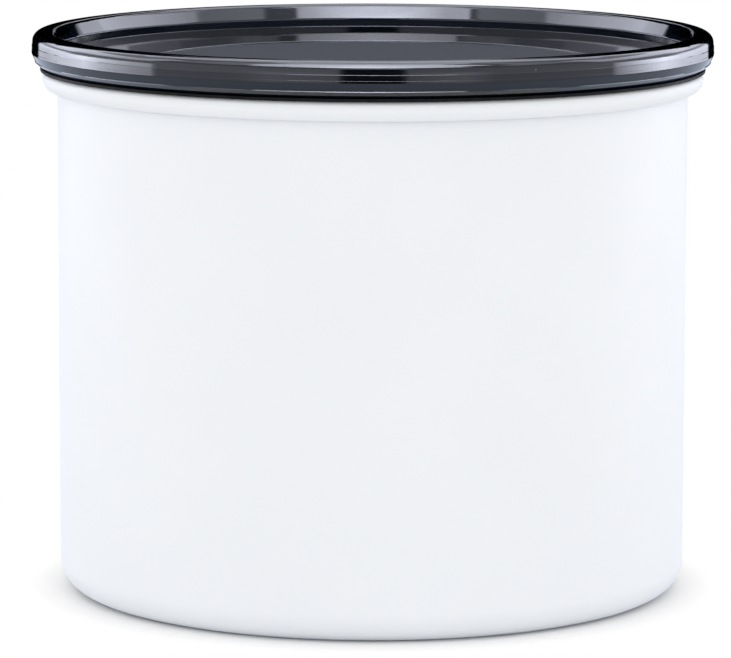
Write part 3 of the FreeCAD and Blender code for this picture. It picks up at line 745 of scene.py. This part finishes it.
tree.links.new(mix_shaders(tree, mirrored, seen, painted_cool_reflection), surface)
studio_floor.data.materials.append(floor_finish)

seen_level = 1.0
lit_level = 1.05
world = bpy.data.worlds.new("studio")
world.use_nodes = True
tree = world.node_tree
sight = add_node(tree, "LightPath").outputs
even_light = add_node(tree, "MapRange", Value=sight["Is Diffuse Ray"], To_Min=seen_level, To_Max=lit_level)
feed(tree, tree.nodes["Background"], Color=(1, 1, 1), Strength=even_light.outputs["Result"])
bpy.context.scene.world = world

low_levels = [
    (-148.5, 0), (-147.5, 2.0), (-140, 2.5), (-135, 3.0), (-120, 6.2), (-108, 10.5), (-97, 8.2), (-84, 5.8),
    (-76, 4.9), (-74, 1.5), (-45, 1.5), (-33, 2.1), (-11, 1.6), (-9.5, 0.05),
    (9.5, 0.05), (11, 1.4), (29, 2.1), (40, 1.3), (83, 1.5), (85, 4.4), (98, 9.0), (109, 11.0), (122, 6.0),
    (137, 3.2), (149.5, 2.0), (150.5, 0),
]
side_levels = [
    (-148.5, 0), (-147.5, 2.0), (-140, 3.0), (-135, 3.75), (-122, 5.0), (-116, 2.2), (-84, 2.2), (-80, 1.5),
    (-11, 1.5), (-9.5, 0.05),
    (9.5, 0.05), (11, 1.3), (80, 1.3), (84, 2.2), (116, 2.2), (123, 5.0), (137, 3.2), (149.5, 2.0),
    (150.5, 0),
]
dim_levels = [
    (-148.5, 0), (-146, 1.3), (-84, 1.3), (-80, 1.5), (-11, 1.5), (-9.5, 0.05),
    (9.5, 0.05), (11, 1.3), (148, 1.3), (150.5, 0),
]
middle_levels = [
    (-180, 1.2), (-174, 1.2), (-171, 0), (-144, 0), (-142, 4.2), (-128, 5.2), (-107, 5.9), (-81, 4.5),
    (-78, 1.0), (-14, 0.9), (-10, 2.2),
    (10, 2.2), (14, 0.9), (79, 1.0), (82, 4.4), (107, 5.8), (128, 5.0), (142, 4.0), (144, 0), (171, 0),
    (174, 1.2), (180, 1.2),
]
high_levels = [
    (-168, 2.5), (-164, 0), (-146, 0), (-144, 4.8), (-129, 1.9), (-97, 1.9), (-91, 4.4), (-82, 4.4),
    (-80, 2.0), (-50, 2.6), (-48.5, 0.9), (-46.5, 0.9), (-45, 7.6), (-35, 7.5), (-20, 12.6), (-9, 17),
    (0, 17), (12, 13.2), (28, 8.2), (35, 7.1), (36, 0.9), (50, 0.9), (52, 2.7), (81, 2.1), (83, 4.4),
    (91, 4.4), (97, 1.9), (129, 1.9), (144, 4.8), (146, 0), (164, 0), (168, 2.5),
]
roof_levels = [
    (-180, 3.2), (-118, 3.8), (-112, 1.4), (-85, 1.4), (-78, 2.5), (-60, 2.5), (-56, 1.5), (-54, 8),
    (-26, 11), (0, 13.5), (26, 10.5), (49, 8), (51, 0.9), (60, 0.9), (62, 2.5), (78, 2.5), (85, 1.4),
    (112, 1.4), (118, 3.8), (180, 3.2),
]
top_levels = [(-180, 4), (-90, 5), (0, 8), (90, 5), (180, 4)]
low_rises = [(0, 0.6), (0.09, 1)]
bright_strip = 0.9
dim_strip = 0.3
wall_radius = 0.75
wall_foot = (wall_radius, -0.02)
low_top = (wall_radius, 0.12)
side_top = (wall_radius, 0.19)
dim_top = (wall_radius, 0.29)
upper_side_top = (wall_radius, 0.38)
middle_top = (wall_radius, 0.64)
high_top = (0.62, 0.783)
roof_top = (0.31, 1.12)
peak = (0, 1.16)
add_lit_wall("low_wall", wall_foot, low_top, with_far_strip(bright_strip, low_levels), low_rises)
add_lit_wall("side_wall", low_top, side_top, with_far_strip(dim_strip, side_levels))
add_lit_wall("dim_wall", side_top, dim_top, with_far_strip(dim_strip, dim_levels))
add_lit_wall("upper_side_wall", dim_top, upper_side_top, with_far_strip(bright_strip, side_levels))
add_lit_wall("middle_wall", upper_side_top, middle_top, middle_levels)
add_lit_wall("high_wall", middle_top, high_top, high_levels)
add_lit_wall("roof_wall", high_top, roof_top, roof_levels)
add_lit_wall("top_light", roof_top, peak, top_levels)

camera_dip = math.radians(8.503)
camera_turn = math.radians(0.137)
camera_data = bpy.data.cameras.new("camera")
camera_data.sensor_width = 36
camera_data.lens = 239.31
camera = bpy.data.objects.new("camera", camera_data)
camera.location = (-0.00128, -0.928, 0.18818)
camera.rotation_mode = "ZYX"
camera.rotation_euler = (math.pi / 2 - camera_dip, 0, camera_turn)
bpy.context.scene.collection.objects.link(camera)
bpy.context.scene.camera = camera
bpy.context.scene.view_settings.view_transform = "Standard"
